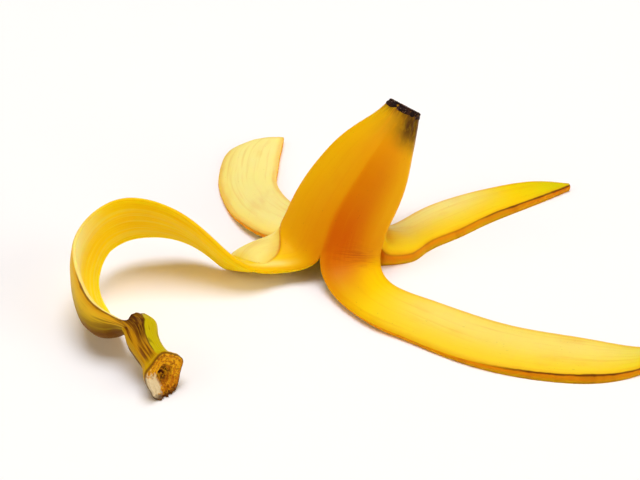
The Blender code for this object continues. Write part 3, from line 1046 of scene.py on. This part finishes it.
def buildBlossom():
    profile = np.array(blossom["profile"])
    steps = np.linspace(0, runLengths(profile)[-1], blossom["rows"])
    profile = spline(runLengths(profile), profile, steps)
    azimuth = np.linspace(0, 360, blossom["around"], endpoint=False)
    up = unit(np.array(peel["cone"][0][:3]) - np.array(peel["cone"][1][:3]))
    rows = []
    for share, height in profile:
        # below the end the crust follows the skin, above it the ring is carried on along the axis
        ring = conePoints(np.full(len(azimuth), max(-height, 0.0)), azimuth)
        centre = ring.mean(axis=0)
        rows.append(centre + (ring - centre) * share + up * max(height, 0.0))
    rows = np.array(rows)
    share = profile[:, 0:1] + 0 * azimuth[None]
    centre = rows[-1].mean(axis=0)
    outward = unit(rows - centre)
    lumps = bumps(rows, (3.2, 3.2, 3.2), 21) * blossom["lumps"]
    lumps = lumps + bumps(rows, (1.1, 1.1, 1.1), 22) * blossom["crust"]
    outward = 0.6 * outward + 0.4 * unit(np.array(blossom["lean"]))
    rows = rows + (lumps * rise(share, 0.2, 0.5))[..., None] * outward
    data = ringMesh("blossom_end", rows + toFrame, True)
    addValues(data, {"share": np.append(np.ravel(share), 0.0)})
    data.materials.append(blossomFinish())
    addPiece("blossom_end", data)


def blossomFinish():
    material, tree, shader = newFinish("dried blossom", 0.6, 0.12)
    place = objectPlace(tree)
    crust = grain(tree, place, (1.2, 1.2, 1.2), 4, 1)
    colour = blend(tree, fade(tree, crust, 0.45, 0.7), blossom["black"], blossom["brown"])
    inside = fade(tree, fact(tree, "share"), 0.5, 0.85, 1, 0)
    inside = times(tree, inside, fade(tree, crust, 0.4, 0.6, 0.3, 0.9))
    colour = blend(tree, inside, colour, blossom["grey"])
    # painted highlights: grey glints on the crust
    glints = fade(tree, grain(tree, place, (0.8, 0.8, 0.5), 2, 12), 0.66, 0.71, 0, 0.6)
    colour = blend(tree, glints, colour, blossom["grey"])
    tree.links.new(colour, shader.inputs["Base Color"])
    addBump(tree, shader, [(crust, 0.5), (grain(tree, place, (0.4, 0.4, 0.4), 3, 5), 0.25)])
    return material


def objectPlace(tree):
    # object position in mm
    place = tree.nodes.new("ShaderNodeTexCoord")
    scale = tree.nodes.new("ShaderNodeMapping")
    scale.inputs["Scale"].default_value = (1 / mm, 1 / mm, 1 / mm)
    tree.links.new(place.outputs["Object"], scale.inputs["Vector"])
    return scale.outputs[0]


stem = {
    "start": (-68.0, -71.5, 15.6),
    "end": (-52.6, -91.0, 7.8),
    "farSide": (0.75, 0.38, 0.54),
    "around": 144,
    "rows": 72,
    # distance along, half width towards the near side, half width towards the far side
    "sections": [
        (-1.5, 4.0, 5.4),
        (0.5, 4.6, 6.4),
        (3.5, 4.7, 7.6),
        (8.0, 4.5, 8.2),
        (11.0, 4.5, 6.7),
        (16.0, 4.7, 5.4),
        (20.0, 5.3, 5.7),
        (23.5, 7.0, 7.4),
        (26.5, 7.8, 8.0),
    ],
    # where the torn collar starts, as angle and distance along
    "collar": [
        (0, 2.6), (20, 3.2), (45, 2.8), (60, 3.1), (78, 3.6), (92, 3.0), (100, 1.2), (112, 0.0),
        (215, 0.0), (235, 1.0), (300, 1.6), (330, 2.0), (360, 2.6),
    ],
    # share of the collar's radius, closing it inwards
    "inside": (0.2, 0.5, 0.78, 0.93),
    # share of the radius by which it goes in under the skin of the strip
    "tuck": 0.34,
    "endSlant": 0.55,
    # where the broken end is drawn in, as angle, spread in degrees and share of the radius
    "drawnIn": [(278, 32, 0.27), (322, 22, 0.17), (60, 40, 0.08)],
    "facets": 5,
    "faceting": 0.06,
    "facetTurn": -18.0,
    # depth of its fine and broad relief
    "fibres": 0.22,
    "waves": 0.25,
}


def stemAxes():
    start, end = np.array(stem["start"]), np.array(stem["end"])
    axis = unit(end - start)
    far = np.array(stem["farSide"])
    far = unit(far - (far @ axis) * axis)
    return start, axis, far, np.cross(axis, far)


def underStrip(angle):
    # 1 where the stem carries on out of the strip, 0 where its collar is torn off
    return rise(angle, 98, 12) * fall(angle, 212, 20)


def stemRing(along, angle):
    # one ring of the stem's surface; angle 0 is the far side, 90 the side that shows most
    start, axis, far, side = stemAxes()
    sections = np.array(stem["sections"])
    nearHalf, farHalf = spline(sections[:, 0], sections[:, 1:], along).T
    half = (nearHalf + farHalf) / 2
    turn = np.radians(angle)
    facets = np.cos(stem["facets"] * (turn - math.radians(stem["facetTurn"])))
    radius = half * (1 + stem["faceting"] * facets)
    drawnIn = sum(depth * hump(angle, middle, spread) for middle, spread, depth in stem["drawnIn"])
    radius = radius * (1 - rise(along, 20, 6) * drawnIn)
    radius = radius * (1 - stem["tuck"] * underStrip(angle) * fall(along, 3, 7))
    out = radius[:, None] * (np.cos(turn)[:, None] * far + np.sin(turn)[:, None] * side)
    slant = (stem["endSlant"] * rise(along, 20, 6.5))[:, None]
    centre = start + axis * along[:, None] + far * ((farHalf - nearHalf) / 2)[:, None]
    return centre + out - slant * out[:, 2:3] * axis


def buildStem():
    angle = np.linspace(0, 360, stem["around"], endpoint=False)
    turn = np.radians(angle)
    circle = np.stack([np.cos(turn), np.sin(turn), 0 * turn], axis=1)
    length = stem["sections"][-1][0]
    ragged = 0.5 * bumps(9 * circle, (1.6, 1.6, 1), 33)
    collar = column(stem["collar"], angle, 1) + ragged * (1 - underStrip(angle))
    _, _, far, side = stemAxes()
    out = np.cos(turn)[:, None] * far + np.sin(turn)[:, None] * side
    alongs, rows = [], []
    for k in range(stem["rows"] + 1):
        along = collar + (length - collar) * k / stem["rows"]
        alongs.append(along)
        rows.append(stemRing(along, angle))
    alongs, rows = np.array(alongs), np.array(rows)
    flat = np.broadcast_arrays(6 * np.cos(turn)[None], 6 * np.sin(turn)[None], alongs)
    flat = np.stack(flat, axis=-1)
    relief = stem["fibres"] * bumps(flat, (1.4, 1.4, 16), 31)
    relief = relief + stem["waves"] * bumps(flat, (3.5, 3.5, 8), 32)
    rows = rows + relief[..., None] * out
    # the collar closes inwards from its torn edge
    middle = rows[0].mean(axis=0)
    inside = np.array([middle + (rows[0] - middle) * share for share in stem["inside"]])
    rows = np.concatenate([inside, rows])
    alongs = np.concatenate([np.repeat(collar[None], len(inside), axis=0), alongs])
    flat = np.concatenate([np.repeat(flat[:1], len(inside), axis=0), flat])
    rows = rows + toFrame
    rows[..., 2] = np.maximum(rows[..., 2], 0)
    data = ringMesh("stem", rows, False)
    addValues(data, {
        "along": np.ravel(alongs),
        "turnX": np.ravel(np.cos(turn)[None] + 0 * alongs),
        "turnY": np.ravel(np.sin(turn)[None] + 0 * alongs),
        "torn": np.ravel(np.exp(-(alongs - collar) / 0.6) * (1 - underStrip(angle))),
    })
    place = data.attributes.new("fruit", "FLOAT_VECTOR", "POINT")
    place.data.foreach_set("vector", flat.astype(np.float32).ravel())
    data.materials.append(stemFinish())
    addPiece("stem", data)
    return rows[-1], angle


stemColours = {
    "green": (0.57, 0.46, 0.002),
    "moss": (0.20, 0.13, 0.003),
    "gold": (0.54, 0.25, 0.002),
    "streak": (0.20, 0.065, 0.001),
    "bruise": (0.085, 0.024, 0.001),
    "yellow": (0.62, 0.36, 0.002),
    "line": (0.055, 0.014, 0.001),
}


def turnAngle(tree):
    # degrees round the stem, from 0 to 360
    turn = calc(tree, "ARCTAN2", fact(tree, "turnY"), fact(tree, "turnX"))
    return calc(tree, "FLOORED_MODULO", calc(tree, "DEGREES", turn), 360.0)


def stemFinish():
    material, tree, shader = newFinish("stem skin", 0.5, 0.06)
    c = stemColours
    place = fact(tree, "fruit")
    along, angle = fact(tree, "along"), turnAngle(tree)
    wander = calc(tree, "SUBTRACT", grain(tree, place, (2.5, 2.5, 7), 3, 3), 0.5)
    angle = calc(tree, "ADD", angle, times(tree, wander, 40))
    streaks = grain(tree, place, (0.9, 0.9, 12), 3, 1)
    flecks = grain(tree, place, (0.5, 0.5, 2.5), 3, 8)
    colour = blend(tree, fade(tree, streaks, 0.40, 0.60), c["gold"], c["streak"])
    # towards the near side and the flare the skin is clean yellow
    colour = blend(tree, fade(tree, angle, 112, 128, 0, 0.9), colour, c["yellow"])
    colour = blend(tree, fade(tree, along, 18, 22, 0, 0.8), colour, c["yellow"])
    # green lobe on the far side, its border running outwards round the stem
    greenSide = calc(tree, "SUBTRACT", fade(tree, along, 2, 12, 26, 60), angle)
    green = calc(tree, "MAXIMUM", fade(tree, greenSide, -3, 3), fade(tree, angle, 285, 300))
    bruise = times(tree, fade(tree, greenSide, -3, 3, 1, 0), fade(tree, angle, 80, 98, 1, 0))
    bruise = times(tree, bruise, fade(tree, along, 9, 16, 1, 0))
    bruise = times(tree, bruise, fade(tree, flecks, 0.35, 0.62, 1.0, 0.55))
    colour = blend(tree, bruise, colour, c["bruise"])
    colour = blend(tree, times(tree, green, fade(tree, along, 19, 23, 1, 0.3)), colour, c["green"])
    moss = fade(tree, grain(tree, place, (2.2, 2.2, 4.5), 2, 6), 0.56, 0.66, 0, 0.75)
    moss = times(tree, green, moss, fade(tree, along, 13, 18, 1, 0))
    colour = blend(tree, moss, colour, c["moss"])
    # dark line along the border of the lobe
    line = fade(tree, calc(tree, "ABSOLUTE", greenSide), 1.5, 6, 0.75, 0)
    line = times(tree, line, fade(tree, along, 17, 20, 1, 0))
    colour = blend(tree, line, colour, c["bruise"])
    # painted shade: brown along the lower side of the stem, which faces away from the lamps
    lowShade = times(tree, fade(tree, angle, 138, 162), fade(tree, angle, 275, 290, 1, 0), 0.85)
    colour = blend(tree, lowShade, colour, c["bruise"])
    start = times(tree, fade(tree, along, 0, 5, 0.7, 0), fade(tree, angle, 104, 122))
    start = times(tree, start, fade(tree, streaks, 0.40, 0.55, 1, 0.25))
    colour = blend(tree, start, colour, skinColours["mustard"])
    # torn collar and the rim of the broken end
    colour = blend(tree, fact(tree, "torn"), colour, c["line"])
    colour = blend(tree, fade(tree, along, 25.0, 26.2, 0, 0.9), colour, c["streak"])
    tree.links.new(colour, shader.inputs["Base Color"])
    addBump(tree, shader, [(streaks, 0.35), (flecks, 0.1)])
    return material


brokenEnd = {
    "rows": 34,
    "cream": (0.86, 0.72, 0.45),
    "gold": (0.95, 0.50, 0.01),
    "orange": (0.55, 0.17, 0.003),
    "brown": (0.24, 0.06, 0.002),
    "dark": (0.05, 0.010, 0.002),
}


def buildBrokenEnd(rim, angle):
    # the broken face: a lip, layers inside it, a dark hole and pith and fibres below
    _, axis, _, _ = stemAxes()
    centre = rim.mean(axis=0)
    shares = np.linspace(1, 0.02, brokenEnd["rows"])
    turn = np.radians(angle)
    circle = np.stack([np.cos(turn), np.sin(turn), 0 * turn], axis=1)
    rows = []
    for share in shares:
        flat = 7 * share * circle
        inside = ease((1 - share) * 8)
        layers = 0.35 * np.sin(share * 30 + 1.5 * bumps(flat, (4, 4, 4), 41)) * inside
        pith = hump(angle, 150, 45) * ease((share - 0.25) * 3) * ease((1 - share) * 9)
        fibres = hump(angle, 225, 40) * ease((share - 0.2) * 3) * ease((1 - share) * 9)
        hole = hump(share, 0, 0.42)
        rough = bumps(flat + share, (1.1, 1.1, 1.1), 42) * inside
        spikes = bumps(9 * circle + np.array([0, 0, 2 * share]), (0.8, 0.8, 2.5), 43)
        height = 0.6 * layers + 1.2 * pith + (0.9 + 1.3 * spikes) * fibres - 2.6 * hole + 0.5 * rough
        rows.append(centre + (rim - centre) * share + height[:, None] * axis)
    rows = np.array(rows)
    rows[..., 2] = np.maximum(rows[..., 2], 0)
    data = ringMesh("stem_end", rows, True)
    addValues(data, {
        "share": np.append(np.ravel(shares[:, None] + 0 * angle[None]), 0),
        "turnX": np.append(np.ravel(np.cos(turn)[None] + 0 * shares[:, None]), 1),
        "turnY": np.append(np.ravel(np.sin(turn)[None] + 0 * shares[:, None]), 0),
    })
    data.materials.append(brokenFinish())
    addPiece("stem_end", data)


def brokenFinish():
    material, tree, shader = newFinish("broken stem", 0.6, 0.08)
    c = brokenEnd
    place = objectPlace(tree)
    share, angle = fact(tree, "share"), turnAngle(tree)
    rough = grain(tree, place, (1.0, 1.0, 1.0), 4, 2)
    wander = times(tree, calc(tree, "SUBTRACT", rough, 0.5), 60)
    angle = calc(tree, "ADD", angle, wander)
    # layers of the stem as arcs round the broken face
    arcs = calc(tree, "ADD", times(tree, share, 24.0), times(tree, rough, 11.0))
    arcs = calc(tree, "SINE", arcs)
    colour = blend(tree, fade(tree, arcs, -0.3, 0.8, 0.1, 0.8), c["gold"], c["orange"])
    crumbs = grain(tree, place, (1.3, 1.3, 1.3), 2, 9)
    colour = blend(tree, fade(tree, crumbs, 0.52, 0.7, 0, 0.7), colour, c["brown"])
    cream = times(tree, fade(tree, angle, 112, 130), fade(tree, angle, 190, 205, 1, 0))
    cream = times(tree, cream, fade(tree, share, 0.3, 0.5))
    colour = blend(tree, cream, colour, c["cream"])
    fibres = times(tree, fade(tree, angle, 190, 205), fade(tree, angle, 290, 310, 1, 0))
    fibres = times(tree, fibres, fade(tree, rough, 0.35, 0.6, 0.9, 0.3))
    colour = blend(tree, fibres, colour, c["orange"])
    hole = times(tree, fade(tree, share, 0.2, 0.5, 1, 0), fade(tree, rough, 0.4, 0.65, 1, 0.2))
    colour = blend(tree, hole, colour, c["dark"])
    colour = blend(tree, fade(tree, share, 0.93, 0.99, 0, 0.75), colour, c["dark"])
    # painted shade: the lower part of the broken face is darkened
    height = tree.nodes.new("ShaderNodeSeparateXYZ")
    tree.links.new(place, height.inputs[0])
    height = calc(tree, "ADD", height.outputs["Z"], times(tree, rough, 3.0))
    colour = blend(tree, fade(tree, height, 2.2, 4.6, 0.85, 0), colour, c["dark"])
    tree.links.new(colour, shader.inputs["Base Color"])
    addBump(tree, shader, [(rough, 0.6), (grain(tree, place, (0.35, 0.35, 0.35), 3, 5), 0.3)])
    return material


skin = buildPeel()
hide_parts("peel")
for finish in (skinFinish(), edgeFinish(), pithFinish()):
    skin.data.materials.append(finish)
print("skin built with", len(skin.data.polygons), "faces")
buildBlossom()
print("blossom end built")
rim, rimAngles = buildStem()
buildBrokenEnd(rim, rimAngles)
print("stem built")
